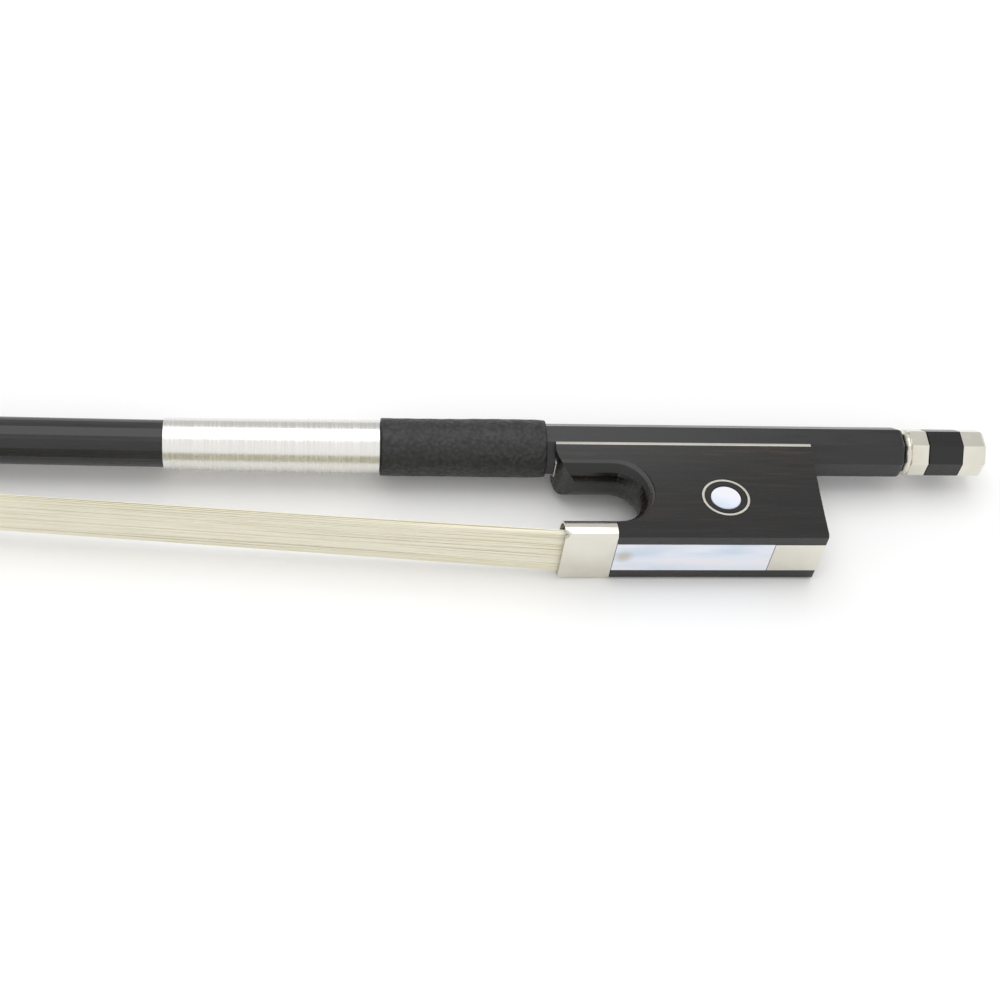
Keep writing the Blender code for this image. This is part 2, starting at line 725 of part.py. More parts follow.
def frog_profile():
    """Side view: nose of the thumb projection, plain front under it, and the leaning heel."""
    top = -STICK_FLATS / 2 * math.tan(math.radians(22.5)) + NOSE_DROP * 0.04
    nose = [(-FROG_FRONT + dx, top - dy) for dx, dy in NOSE_OUTLINE]
    under = -NOSE_DROP
    front = -FERRULE_REAR + INLAY_GAP
    below = -FROG_DEPTH - CUT_OVERRUN
    return ([(-FROG_FRONT, 0.0)] + nose + [(nose[-1][0] + 0.0018, under), (front, under), (front, below),
            (heel_x(below), below), (heel_x(0.0), 0.0)])


def throat_cutter():
    """A U-shaped hole through the frog whose edges roll over into both cheeks."""
    centre_x = -THROAT_REAR - THROAT_RADIUS
    centre_y = -NOSE_DROP - THROAT_RADIUS
    steps = 9
    bends = [math.sin(math.radians(90 * i / steps)) for i in range(steps + 1)]
    side = [mix(THROAT_FLAT_HALF, THROAT_ROUND_HALF, b) for b in bends] + [FERRULE_HALF_WIDTH * 1.3]
    levels = [-z for z in reversed(side)] + side
    rings = []
    for z in levels:
        share = min(max((abs(z) - THROAT_FLAT_HALF) / (THROAT_ROUND_HALF - THROAT_FLAT_HALF), 0.0), 1.0)
        roll = 1 - math.sqrt(1 - share * share)
        up = THROAT_RADIUS + THROAT_ROUND_UP * roll
        back = THROAT_RADIUS + THROAT_ROUND_BACK * roll
        down = centre_y - d_top(z)
        front = -FROG_FRONT - CUT_OVERRUN
        ring = [(front, centre_y + up, z), (front, centre_y - down, z)]
        for i in range(17):
            angle = math.radians(-90 + 180 * i / 16)
            height = down if angle < 0 else up
            ring.append((centre_x + back * math.cos(angle), centre_y + height * math.sin(angle), z))
        rings.append(ring)
    return loft("throat_cut", rings)


def channel_outline(offset, top):
    """The stick's lower three faces set out by offset, in (z, y), open above to top."""
    flat = STICK_FLATS / 2 + offset
    corner = flat * math.tan(math.radians(22.5))
    half = [(flat + corner, top), (flat + corner, 0.0), (corner, -flat)]
    return mirrored(half)


def lining_outline():
    """A strip under the stick's lower three faces, its edges flush with the cheeks."""
    inner = STICK_FLATS / 2 + LINING_GAP
    outer = inner + LINING_THICK
    tan = math.tan(math.radians(22.5))
    edge = FROG_TOP_HALF
    half = [(inner, -inner * tan), (edge, edge - outer * (1 + tan)), (outer * tan, -outer)]
    return mirrored(half) + [(-inner * tan, -inner), (inner * tan, -inner)]


def slide_outline(gap, low, high):
    """Dovetail between two heights above the frog's underside, in (z, y)."""
    def half_at(height):
        return SLIDE_HALF_WIDTH + gap + SLIDE_SPREAD * height / SLIDE_THICK
    return mirrored([(half_at(high), -FROG_DEPTH + high), (half_at(low), -FROG_DEPTH + low)])


def heel_plate_path(thick, corner_gap):
    """Inner line of the heel plates: under the frog, then up its back."""
    floor = -FROG_DEPTH + thick
    top = -HEEL_BACK_TOP
    return (-SLIDE_REAR - corner_gap, floor), (heel_x(floor) - thick, floor), (heel_x(top) - thick, top)


def heel_recess():
    thick = HEEL_PLATE_THICK + INLAY_GAP
    front, corner, top = heel_plate_path(thick, INLAY_GAP)
    lift = top[1] + INLAY_GAP
    out = CUT_OVERRUN
    half = SLIDE_HALF_WIDTH + INLAY_GAP
    outline = [front, corner, (heel_x(lift) - thick, lift), (heel_x(lift) + out, lift),
               (heel_x(-FROG_DEPTH) + out, -FROG_DEPTH - out), (front[0], -FROG_DEPTH - out)]
    return outline_solid("heel_recess", [outline], -half, half)


def eye_place(side):
    """Centre and outward turn of an eye on the near (+1) or far (-1) cheek."""
    tilt = cheek_tilt(-EYE_DROP)
    centre = Vector((-EYE_X, -EYE_DROP, side * cheek_half(-EYE_DROP)))
    turn = -tilt if side > 0 else math.pi + tilt
    return centre, (turn, 0.0, 0.0)


def ring_profile(inner, outer, low, high, edge=0.0):
    """Closed profile of a flat ring, its outer side drawn from top to bottom."""
    if not edge:
        return [(outer, high), (outer, low), (inner, low), (inner, high)]
    return [(outer - edge, high), (outer, high - edge), (outer, low), (inner, low), (inner, high - edge),
            (inner + edge, high)]


def make_frog(body):
    ebony = material("ebony", (0.020, 0.015, 0.012), 0.32)
    frog = bar("frog_body", [frog_section()], -FROG_FRONT - CUT_OVERRUN, -FROG_HEEL + CUT_OVERRUN)
    as_part(frog, body, ebony, 25)
    profile = outline_solid("frog_profile", [frog_profile()], -0.012, 0.012)
    combine(frog, as_cutter(profile, body), "INTERSECT")
    combine(frog, as_cutter(throat_cutter(), body))
    tongue_floor = -FROG_DEPTH + FERRULE_PLATE + HAIR_LIFT + HAIR_THICK + 0.00125
    tongue = bar("ferrule_tongue", [d_outline(FERRULE_WALL + SEAT_GAP, tongue_floor, 0.0)],
                 -FERRULE_REAR - FERRULE_LENGTH + 0.0007, -FERRULE_REAR + 0.001)
    combine(frog, as_cutter(tongue, body), "UNION")
    front = -FROG_FRONT - CUT_OVERRUN
    channel = bar("stick_channel", [channel_outline(LINING_GAP + LINING_THICK + INLAY_GAP, STICK_FLATS)],
                  front, -FROG_HEEL + CUT_OVERRUN)
    slot = bar("slide_slot", [slide_outline(INLAY_GAP, -CUT_OVERRUN / 2, SLIDE_THICK + INLAY_GAP)],
               front, -SLIDE_REAR + INLAY_GAP)
    hair_low = -FROG_DEPTH + SLIDE_THICK
    hair_high = hair_low + 2 * SEAT_GAP + HAIR_THICK
    hair_room = box("hair_channel", (front, hair_low, -FROG_MORTISE_HALF),
                    (-FROG_MORTISE[0] + 0.001, hair_high, FROG_MORTISE_HALF))
    mortise = box("frog_mortise", (-FROG_MORTISE[0], hair_low, -FROG_MORTISE_HALF),
                  (-FROG_MORTISE[1], -FROG_MORTISE_TOP, FROG_MORTISE_HALF))
    shank_hole = rod("eyelet_hole", EYELET_SHANK_RADIUS + INLAY_GAP, EYELET_SHANK_END,
                     (-EYELET_X, -EYELET_SHANK_END / 2 - SEAT_GAP, 0.0), (0, 1, 0))
    for cutter in (channel, slot, hair_room, mortise, shank_hole, heel_recess()):
        combine(frog, as_cutter(cutter, body))
    for side in (1, -1):
        centre, turn = eye_place(side)
        groove = turned(f"eye_groove_{side}", ring_profile(
            EYE_RING_RADIUS - EYE_RING_LINE - INLAY_GAP, EYE_RING_RADIUS + INLAY_GAP,
            -EYE_DEPTH - INLAY_GAP, CUT_OVERRUN), EYE_SEGMENTS, closed=True)
        groove.location = centre
        groove.rotation_euler = turn
        pocket = rod(f"eye_pocket_{side}", EYE_PEARL_RADIUS + INLAY_GAP, 2 * (EYE_DEPTH + INLAY_GAP),
                     centre, (0, 0, 1), EYE_SEGMENTS)
        pocket.rotation_euler = turn
        combine(frog, as_cutter(groove, body))
        combine(frog, as_cutter(pocket, body))
    for pin in pin_places():
        hole = rod(pin["name"] + "_hole", pin["radius"] + INLAY_GAP / 2, 2 * (pin["length"] + INLAY_GAP),
                   pin["mouth"], pin["direction"], 12)
        combine(frog, as_cutter(hole, body))


def make_eyes(body):
    silver = material("nickel silver", (0.78, 0.76, 0.68), 0.22, 1.0)
    pearl = material("pearl", (0.82, 0.80, 0.82), 0.18)
    for side, name in ((1, "near"), (-1, "far")):
        centre, turn = eye_place(side)
        ring = turned(f"eye_ring_{name}", ring_profile(
            EYE_RING_RADIUS - EYE_RING_LINE, EYE_RING_RADIUS, -EYE_DEPTH, 0.00004), EYE_SEGMENTS, closed=True)
        ring.location = centre
        ring.rotation_euler = turn
        as_part(ring, body, silver, 30)
        disc = turned(f"eye_pearl_{name}", [
            (0.0, 0.00004), (EYE_PEARL_RADIUS - 0.00012, 0.00002), (EYE_PEARL_RADIUS, -0.0001),
            (EYE_PEARL_RADIUS, -EYE_DEPTH + 0.0001), (0.0, -EYE_DEPTH + 0.0001)], EYE_SEGMENTS)
        disc.location = centre
        disc.rotation_euler = turn
        as_part(disc, body, pearl, 30)


def make_lining(body):
    silver = material("nickel silver", (0.78, 0.76, 0.68), 0.22, 1.0)
    lining = bar("frog_lining", [lining_outline()], -FROG_FRONT, heel_x(-STICK_FLATS / 2))
    as_part(lining, body, silver)
    opening = rod("lining_eyelet_hole", EYELET_SHANK_RADIUS + INLAY_GAP, STICK_FLATS,
                  (-EYELET_X, -STICK_FLATS / 2, 0.0), (0, 1, 0))
    combine(lining, as_cutter(opening, body))
    for pin in pin_places():
        if pin["through"] == "frog_lining":
            hole = rod(pin["name"] + "_clear", pin["radius"] + INLAY_GAP / 2, 4 * LINING_THICK,
                       pin["mouth"], pin["direction"], 12)
            combine(lining, as_cutter(hole, body))


def make_ferrule(body):
    silver = material("nickel silver", (0.78, 0.76, 0.68), 0.22, 1.0)
    outside = d_outline(0.0, -FROG_DEPTH, CORNER_BEVEL)
    inside = d_outline(FERRULE_WALL, -FROG_DEPTH + FERRULE_PLATE, 0.0)
    rear = -FERRULE_REAR
    front = rear - FERRULE_LENGTH
    ferrule = bar("ferrule", [outside, inside], front, rear)
    as_part(ferrule, body, silver, 25)
    edge = FERRULE_HALF_WIDTH
    outline = [(CUT_OVERRUN - front, edge - FERRULE_CORNER - CUT_OVERRUN), (CUT_OVERRUN - front, edge + CUT_OVERRUN),
               (-front - FERRULE_CORNER - CUT_OVERRUN, edge + CUT_OVERRUN)]
    for side in (1, -1):
        turn = Matrix(((-1, 0, 0, 0), (0, 0, 1, 0), (0, side, 0, 0), (0, 0, 0, 1)))
        corner = outline_solid(f"ferrule_corner_{side}", [outline], -FROG_DEPTH - CUT_OVERRUN,
                               -FROG_DEPTH + FERRULE_PLATE, turn)
        combine(ferrule, as_cutter(corner, body))
    hair_top = -FROG_DEPTH + FERRULE_PLATE + HAIR_LIFT + HAIR_THICK
    tongue_floor = hair_top + 0.00125
    half = d_half_width(tongue_floor, FERRULE_WALL + SEAT_GAP)
    wedge = outline_solid("ferrule_wedge", [[
        (front + 0.0004, hair_top + 0.0002), (front + 0.0004, tongue_floor - 0.00015),
        (rear - 0.0030, tongue_floor - 0.00015), (rear - 0.0030, tongue_floor - 0.0004),
    ]], -half, half)
    as_part(wedge, body, material("maple", (0.72, 0.56, 0.36), 0.6))


def make_slide(body):
    front = -FERRULE_REAR + INLAY_GAP
    rear = -SLIDE_REAR
    pearl = bar("slide_pearl", [slide_outline(0.0, 0.0, PEARL_THICK)], front, rear)
    as_part(pearl, body, material("pearl", (0.82, 0.80, 0.82), 0.18))
    base = bar("slide_base", [slide_outline(0.0, PEARL_THICK + INLAY_GAP, SLIDE_THICK)], front, rear)
    as_part(base, body, material("ebony", (0.020, 0.015, 0.012), 0.32))


def make_heel_plates(body):
    silver = material("nickel silver", (0.78, 0.76, 0.68), 0.22, 1.0)
    thick = HEEL_PLATE_THICK
    front, corner, top = heel_plate_path(thick, 0.0)
    lower = outline_solid("heel_plate_lower", [[
        (-SLIDE_REAR + INLAY_GAP, -FROG_DEPTH), (heel_x(-FROG_DEPTH), -FROG_DEPTH),
        (heel_x(front[1]), front[1]), (-SLIDE_REAR + INLAY_GAP, front[1]),
    ]], -SLIDE_HALF_WIDTH, SLIDE_HALF_WIDTH)
    foot = corner[1] + INLAY_GAP
    back = outline_solid("heel_plate_back", [[
        (heel_x(foot) - thick, foot), (heel_x(foot), foot), (heel_x(top[1]), top[1]),
        (heel_x(top[1]) - thick, top[1]),
    ]], -SLIDE_HALF_WIDTH, SLIDE_HALF_WIDTH)
    for plate in (lower, back):
        as_part(plate, body, silver)
        for pin in pin_places():
            if pin["through"] == plate.name:
                hole = rod(pin["name"] + "_clear", pin["radius"] + INLAY_GAP / 2, 4 * thick,
                           pin["mouth"], pin["direction"], 12)
                combine(plate, as_cutter(hole, body))


def pin_places():
    """Every pin of the frog: where its head lies, which way it goes in, and the sheet that it holds."""
    pins = []
    lining_face = -STICK_FLATS / 2 - LINING_GAP
    for number, place in enumerate(LINING_PINS, 1):
        pins.append({"name": f"lining_pin_{number}", "mouth": (-place, lining_face, 0.0),
                     "direction": (0, -1, 0), "radius": LINING_PIN_RADIUS, "length": LINING_PIN_LENGTH, "through": "frog_lining"})
    for number, drop in enumerate(HEEL_BACK_PINS, 1):
        pins.append({"name": f"heel_pin_back_{number}", "mouth": (heel_x(-drop), -drop, 0.0),
                     "direction": (-1, 0, 0), "radius": HEEL_PIN_RADIUS, "length": HEEL_PIN_LENGTH, "through": "heel_plate_back"})
    return pins


def make_pins(body):
    silver = material("nickel silver", (0.78, 0.76, 0.68), 0.22, 1.0)
    for pin in pin_places():
        middle = Vector(pin["mouth"]) + Vector(pin["direction"]) * (pin["length"] / 2)
        piece = rod(pin["name"], pin["radius"], pin["length"], middle, pin["direction"], 12)
        as_part(piece, body, silver, 40)


def make_frog_inside(body):
    half = FROG_MORTISE_HALF - SEAT_GAP
    front = -FROG_MORTISE[0] + SEAT_GAP
    rear = -FROG_MORTISE[1] - SEAT_GAP
    knot_floor = -FROG_MORTISE_TOP - 0.0036
    knot = box("frog_knot", (front, knot_floor, -half), (rear - 0.0026, -FROG_MORTISE_TOP - SEAT_GAP, half))
    soften(knot, 0.0007)
    as_part(knot, body, material("bound hair", (0.70, 0.62, 0.40), 0.7))
    plug = box("frog_plug", (front + HAIR_THICK + SEAT_GAP, -FROG_DEPTH + SLIDE_THICK + SEAT_GAP, -half),
               (rear, knot_floor - SEAT_GAP, half))
    as_part(plug, body, material("maple", (0.72, 0.56, 0.36), 0.6))


def make_eyelet(body):
    """A flat-sided eye on the screw, with a shank down into the frog."""
    brass = material("brass", (0.78, 0.58, 0.28), 0.3, 1.0)
    foot = -EYELET_FOOT
    eyelet = box("eyelet", (-EYELET_X - EYELET_HALF_LENGTH, foot, -EYELET_HALF_WIDTH),
                 (-EYELET_X + EYELET_HALF_LENGTH, EYELET_HEIGHT, EYELET_HALF_WIDTH))
    as_part(eyelet, body, brass, 40)
    shank_top = foot + EYELET_SHANK_RADIUS
    shank = rod("eyelet_shank", EYELET_SHANK_RADIUS, EYELET_SHANK_END + shank_top,
                (-EYELET_X, (shank_top - EYELET_SHANK_END) / 2, 0.0), (0, 1, 0))
    combine(eyelet, as_cutter(shank, body), "UNION")
    thread = rod("eyelet_thread", SCREW_RADIUS + RUN_CLEARANCE, 4 * EYELET_HALF_LENGTH, (-EYELET_X, 0.0, 0.0), (1, 0, 0))
    combine(eyelet, as_cutter(thread, body))


# Screw and button

def octagon_outline(flats):
    radius = flats / 2 / math.cos(math.radians(22.5))
    turns = [math.radians(22.5 + 45 * i) for i in range(8)]
    return [(radius * math.sin(turn), radius * math.cos(turn)) for turn in turns]


def circle_outline(radius, count=24):
    turns = [2 * math.pi * i / count for i in range(count)]
    return [(radius * math.sin(turn), radius * math.cos(turn)) for turn in turns]


def make_screw(body):
    steel = material("steel", (0.55, 0.55, 0.56), 0.28, 1.0)
    silver = material("nickel silver", (0.78, 0.76, 0.68), 0.22, 1.0)
    ebony = material("ebony", (0.020, 0.015, 0.012), 0.32)
    hole = SCREW_RADIUS + INLAY_GAP
    collar_end = BUTTON_GAP + COLLAR_LENGTH
    ring_end = collar_end + FRONT_RING_LENGTH
    core_start = ring_end + INLAY_GAP
    core_end = core_start + CORE_LENGTH
    cap_start = core_end + INLAY_GAP
    cap_end = cap_start + CAP_LENGTH
    ring = bar("button_front_ring", [octagon_outline(BUTTON_FLATS)], collar_end, ring_end)
    as_part(ring, body, silver, 25)
    soften(ring, BUTTON_EDGE).segments = 1
    steps = 8
    bead = [(COLLAR_RADIUS - COLLAR_LENGTH / 2 * (1 - math.sin(math.pi * i / steps)),
             collar_end + 0.0003 - (COLLAR_LENGTH + 0.0003) * i / steps) for i in range(steps + 1)]
    collar = turned("button_collar", [(0.0, bead[0][1])] + bead + [(0.0, bead[-1][1])], 32)
    collar.rotation_euler = (0.0, math.radians(90), 0.0)
    combine(ring, as_cutter(collar, body), "UNION")
    ring_bore = rod("ring_bore", hole, 4 * ring_end, (ring_end / 2, 0.0, 0.0), (1, 0, 0))
    combine(ring, as_cutter(ring_bore, body))
    core = bar("button_core", [octagon_outline(BUTTON_FLATS), circle_outline(hole)], core_start, core_end)
    as_part(core, body, ebony)
    shrink = 1 - CAP_DOME * 1.6 / BUTTON_FLATS
    levels = ((cap_start, 1.0), (cap_end - CAP_DOME, 1.0),
              (cap_end - CAP_DOME * 0.35, (1 + shrink) / 2), (cap_end, shrink))
    cap = loft("button_cap", [[(x, y * size, z * size) for z, y in octagon_outline(BUTTON_FLATS)]
                              for x, size in levels])
    as_part(cap, body, silver, 25)
    screw_end = cap_start + CAP_LENGTH / 2
    cap_bore = rod("cap_bore", hole, 2 * (screw_end + INLAY_GAP - cap_start), (cap_start, 0.0, 0.0), (1, 0, 0))
    combine(cap, as_cutter(cap_bore, body))
    length = screw_end + SCREW_TIP
    screw = rod("screw", SCREW_RADIUS, length, (screw_end - length / 2, 0.0, 0.0), (1, 0, 0))
    as_part(screw, body, steel, 40)
    soften(screw, 0.0003).segments = 1


def stand_on_ground(root):
    """Moves the root so that the bow's middle is over the origin and its lowest point at z = 0."""
    bpy.context.view_layer.update()
    graph = bpy.context.evaluated_depsgraph_get()
    corners = []
    for obj in bow.objects:
        if obj.type == "MESH":
            solid = obj.evaluated_get(graph)
            corners += [solid.matrix_world @ Vector(corner) for corner in solid.bound_box]
    low = Vector([min(corner[axis] for corner in corners) for axis in range(3)])
    high = Vector([max(corner[axis] for corner in corners) for axis in range(3)])
    root.location = (-(low.x + high.x) / 2, -(low.y + high.y) / 2, -low.z)


def main():
    clear_scene()
    root = empty("bow_stand")
    stick_body = empty("stick_frame", root)
    frog_body = empty("frog_carriage", root)
    screw_body = empty("screw_axis", root)
    make_stick(stick_body)
    make_grip(stick_body)
    make_tip(stick_body)
    make_hair(stick_body)
    make_frog(frog_body)
    make_lining(frog_body)
    make_ferrule(frog_body)
    make_slide(frog_body)
    make_heel_plates(frog_body)
    make_eyes(frog_body)
    make_pins(frog_body)
    make_frog_inside(frog_body)
    make_eyelet(frog_body)
    make_screw(screw_body)
    stand_on_ground(root)
    bpy.context.view_layer.update()
    print("handle axis passes through", tuple(round(value, 6) for value in screw_body.matrix_world.translation))


main()
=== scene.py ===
import math
import random

import bmesh
import bpy
from mathutils import Matrix, Vector


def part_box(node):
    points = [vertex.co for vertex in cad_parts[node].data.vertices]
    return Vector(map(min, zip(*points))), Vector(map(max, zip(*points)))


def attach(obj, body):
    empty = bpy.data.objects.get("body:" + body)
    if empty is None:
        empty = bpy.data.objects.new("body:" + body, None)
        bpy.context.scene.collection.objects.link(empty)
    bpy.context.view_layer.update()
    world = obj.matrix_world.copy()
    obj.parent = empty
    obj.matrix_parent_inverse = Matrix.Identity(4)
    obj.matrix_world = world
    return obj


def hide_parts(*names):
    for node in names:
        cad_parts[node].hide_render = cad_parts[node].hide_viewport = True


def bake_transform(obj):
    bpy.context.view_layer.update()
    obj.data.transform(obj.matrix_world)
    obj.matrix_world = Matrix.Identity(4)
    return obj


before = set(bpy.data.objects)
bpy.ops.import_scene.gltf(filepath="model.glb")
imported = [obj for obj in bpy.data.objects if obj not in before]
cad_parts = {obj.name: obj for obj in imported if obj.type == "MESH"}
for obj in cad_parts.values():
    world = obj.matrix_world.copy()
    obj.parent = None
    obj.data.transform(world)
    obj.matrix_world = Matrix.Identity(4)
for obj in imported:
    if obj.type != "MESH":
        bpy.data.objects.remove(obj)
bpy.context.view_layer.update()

# The handle's axis: its end face and its height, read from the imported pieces
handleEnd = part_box("stick")[1][0]
coreLow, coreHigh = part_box("button_core")
axisY = (coreLow[1] + coreHigh[1]) / 2
axisZ = (coreLow[2] + coreHigh[2]) / 2
origin = Vector((handleEnd, axisY, axisZ))
perMetre = 1000  # millimetres


# Camera, in millimetres from the handle's end face
view = {
    "place": (-109.526, -184.147, 236.866),
    "right": (0.9935, -0.0623, 0.0957),
    "up": (-0.0059, 0.8088, 0.5881),
    "lens": 59.574,
    "sensor": 36.0,
    "clipStart": 0.01,
}


def setCamera():
    data = bpy.data.cameras.new("camera")
    data.lens = view["lens"]
    data.sensor_width = view["sensor"]
    data.clip_start = view["clipStart"]
    right = Vector(view["right"]).normalized()
    up = Vector(view["up"])
    up = (up - right * up.dot(right)).normalized()
    back = right.cross(up)
    turn = Matrix((right, up, back)).transposed().to_4x4()
    camera = bpy.data.objects.new("camera", data)
    camera.matrix_world = Matrix.Translation(origin + Vector(view["place"]) / perMetre) @ turn
    bpy.context.scene.collection.objects.link(camera)
    bpy.context.scene.camera = camera


setCamera()
print("camera set")


# Shader helpers
noiseReach = (0.3, 0.7)  # most of a noise lies between these two
mottleReach = 0.05  # how far a plain finish's roughness goes either way
mixFactor, mixFirst, mixSecond, mixColour = 0, 6, 7, 2  # sockets of a colour mix node


def newMaterial(name):
    material = bpy.data.materials.new(name)
    material.use_nodes = True
    tree = material.node_tree
    shader = tree.nodes["Principled BSDF"]
    return material, tree, shader


def addNode(tree, kind, values=None, **settings):
    node = tree.nodes.new(kind)
    for key, value in settings.items():
        setattr(node, key, value)
    for key, value in (values or {}).items():
        node.inputs[key].default_value = value
    return node


def places(tree, stretch=(1.0, 1.0, 1.0)):
    coordinates = tree.nodes.new("ShaderNodeTexCoord")
    mapping = addNode(tree, "ShaderNodeMapping", {"Scale": stretch})
    tree.links.new(coordinates.outputs["Object"], mapping.inputs["Vector"])
    return mapping.outputs["Vector"]


def noise(tree, vector, scale, detail=3.0, rough=0.5):
    node = addNode(tree, "ShaderNodeTexNoise", {"Scale": scale, "Detail": detail, "Roughness": rough})
    tree.links.new(vector, node.inputs["Vector"])
    return node.outputs["Fac"]


def ramp(tree, factor, stops):
    node = tree.nodes.new("ShaderNodeValToRGB")
    while len(node.color_ramp.elements) < len(stops):
        node.color_ramp.elements.new(0.5)
    for element, (place, colour) in zip(node.color_ramp.elements, stops):
        element.position = place
        element.color = (*colour, 1.0)
    tree.links.new(factor, node.inputs["Fac"])
    return node.outputs["Color"]


def spread(tree, factor, low, high):
    node = addNode(tree, "ShaderNodeMapRange", {
        "From Min": noiseReach[0], "From Max": noiseReach[1], "To Min": low, "To Max": high})
    tree.links.new(factor, node.inputs["Value"])
    return node.outputs["Result"]


def bump(tree, shader, height, distance, strength):
    node = addNode(tree, "ShaderNodeBump", {"Distance": distance, "Strength": strength})
    tree.links.new(height, node.inputs["Height"])
    tree.links.new(node.outputs["Normal"], shader.inputs["Normal"])


# Finishes
def satinBlack():
    material, tree, shader = newMaterial("satinBlack")
    cloud = noise(tree, places(tree, (18.0, 120.0, 120.0)), scale=6.0, detail=4.0)
    colour = ramp(tree, cloud, ((0.3, (0.010, 0.010, 0.011)), (0.7, (0.017, 0.017, 0.018))))
    tree.links.new(colour, shader.inputs["Base Color"])
    tree.links.new(spread(tree, cloud, low=0.24, high=0.34), shader.inputs["Roughness"])
    fine = noise(tree, places(tree), scale=2600.0, detail=2.0)
    bump(tree, shader, fine, distance=0.000004, strength=0.5)
    return material


def ebony():
    material, tree, shader = newMaterial("ebony")
    grain = noise(tree, places(tree, (26.0, 420.0, 300.0)), scale=3.2, detail=6.0, rough=0.62)
    wide = noise(tree, places(tree, (8.0, 60.0, 40.0)), scale=3.0)
    both = addNode(tree, "ShaderNodeMath", operation="MULTIPLY")
    tree.links.new(grain, both.inputs[0])
    tree.links.new(wide, both.inputs[1])
    colour = ramp(tree, both.outputs["Value"], (
        (0.20, (0.0045, 0.0040, 0.0038)), (0.32, (0.0085, 0.0062, 0.0050)), (0.47, (0.034, 0.018, 0.010))))
    tree.links.new(colour, shader.inputs["Base Color"])
    tree.links.new(spread(tree, grain, low=0.20, high=0.32), shader.inputs["Roughness"])
    pores = noise(tree, places(tree, (120.0, 1800.0, 1400.0)), scale=2.4)
    bump(tree, shader, pores, distance=0.000012, strength=0.5)
    return material


def nickelSilver():
    material, tree, shader = newMaterial("nickelSilver")
    shader.inputs["Metallic"].default_value = 1.0
    cloud = noise(tree, places(tree), scale=90.0, detail=4.0)
    colour = ramp(tree, cloud, ((0.30, (0.70, 0.67, 0.58)), (0.70, (0.82, 0.80, 0.73))))
    tree.links.new(colour, shader.inputs["Base Color"])
    scratches = noise(tree, places(tree, (60.0, 1500.0, 900.0)), scale=3.0, rough=0.7)
    tree.links.new(spread(tree, scratches, low=0.16, high=0.28), shader.inputs["Roughness"])
    bump(tree, shader, scratches, distance=0.000003, strength=0.5)
    return material


def silverWire():
    material, tree, shader = newMaterial("silverWire")
    shader.inputs["Metallic"].default_value = 1.0
    cloud = noise(tree, places(tree, (1500.0, 10.0, 10.0)), scale=2.0, detail=2.0)
    colour = ramp(tree, cloud, ((0.25, (0.76, 0.75, 0.72)), (0.75, (0.84, 0.83, 0.80))))
    tree.links.new(colour, shader.inputs["Base Color"])
    tree.links.new(spread(tree, cloud, low=0.20, high=0.32), shader.inputs["Roughness"])
    return material


def grainedLeather():
    material, tree, shader = newMaterial("grainedLeather")
    cells = addNode(tree, "ShaderNodeTexVoronoi", {"Scale": 1500.0, "Randomness": 1.0}, feature="SMOOTH_F1")
    tree.links.new(places(tree), cells.inputs["Vector"])
    # Painted shade: each cell is dark at its sunken border and lighter at its raised middle, as if shade
    # fell in the creases between the cells
    colour = ramp(tree, cells.outputs["Distance"], (
        (0.15, (0.026, 0.026, 0.027)), (0.55, (0.012, 0.012, 0.012)), (0.85, (0.005, 0.005, 0.005))))
    tree.links.new(colour, shader.inputs["Base Color"])
    cloud = noise(tree, places(tree), scale=500.0)
    tree.links.new(spread(tree, cloud, low=0.42, high=0.60), shader.inputs["Roughness"])
    # The middle of each cell stands up
    flipped = addNode(tree, "ShaderNodeMath", {0: 1.0}, operation="SUBTRACT")
    tree.links.new(cells.outputs["Distance"], flipped.inputs[1])
    bump(tree, shader, flipped.outputs["Value"], distance=0.00022, strength=0.9)
    return material


def horsehair():
    material, tree, shader = newMaterial("horsehair")
    island = tree.nodes.new("ShaderNodeNewGeometry")
    colour = ramp(tree, island.outputs["Random Per Island"], (
        (0.0, (0.83, 0.79, 0.60)), (0.3, (0.88, 0.84, 0.68)),
        (0.7, (0.91, 0.88, 0.74)), (1.0, (0.94, 0.92, 0.81))))
    along = noise(tree, places(tree, (30.0, 600.0, 600.0)), scale=2.0)
    shade = ramp(tree, along, ((0.3, (0.94, 0.93, 0.90)), (0.7, (1.0, 1.0, 1.0))))
    mixed = addNode(tree, "ShaderNodeMix", {mixFactor: 1.0}, data_type="RGBA", blend_type="MULTIPLY")
    tree.links.new(colour, mixed.inputs[mixFirst])
    tree.links.new(shade, mixed.inputs[mixSecond])
    tree.links.new(mixed.outputs[mixColour], shader.inputs["Base Color"])
    shader.inputs["Roughness"].default_value = 0.42
    return material


# A duller spot of shell by the ferrule: its place from the handle's end face in
# millimetres, its two radii in metres
shellSpot = {
    "place": (-54.9, -24.0, 0.4),
    "inner": 0.0006,
    "outer": 0.0021,
    "colour": (0.47, 0.43, 0.33),
    "share": 0.75,
}


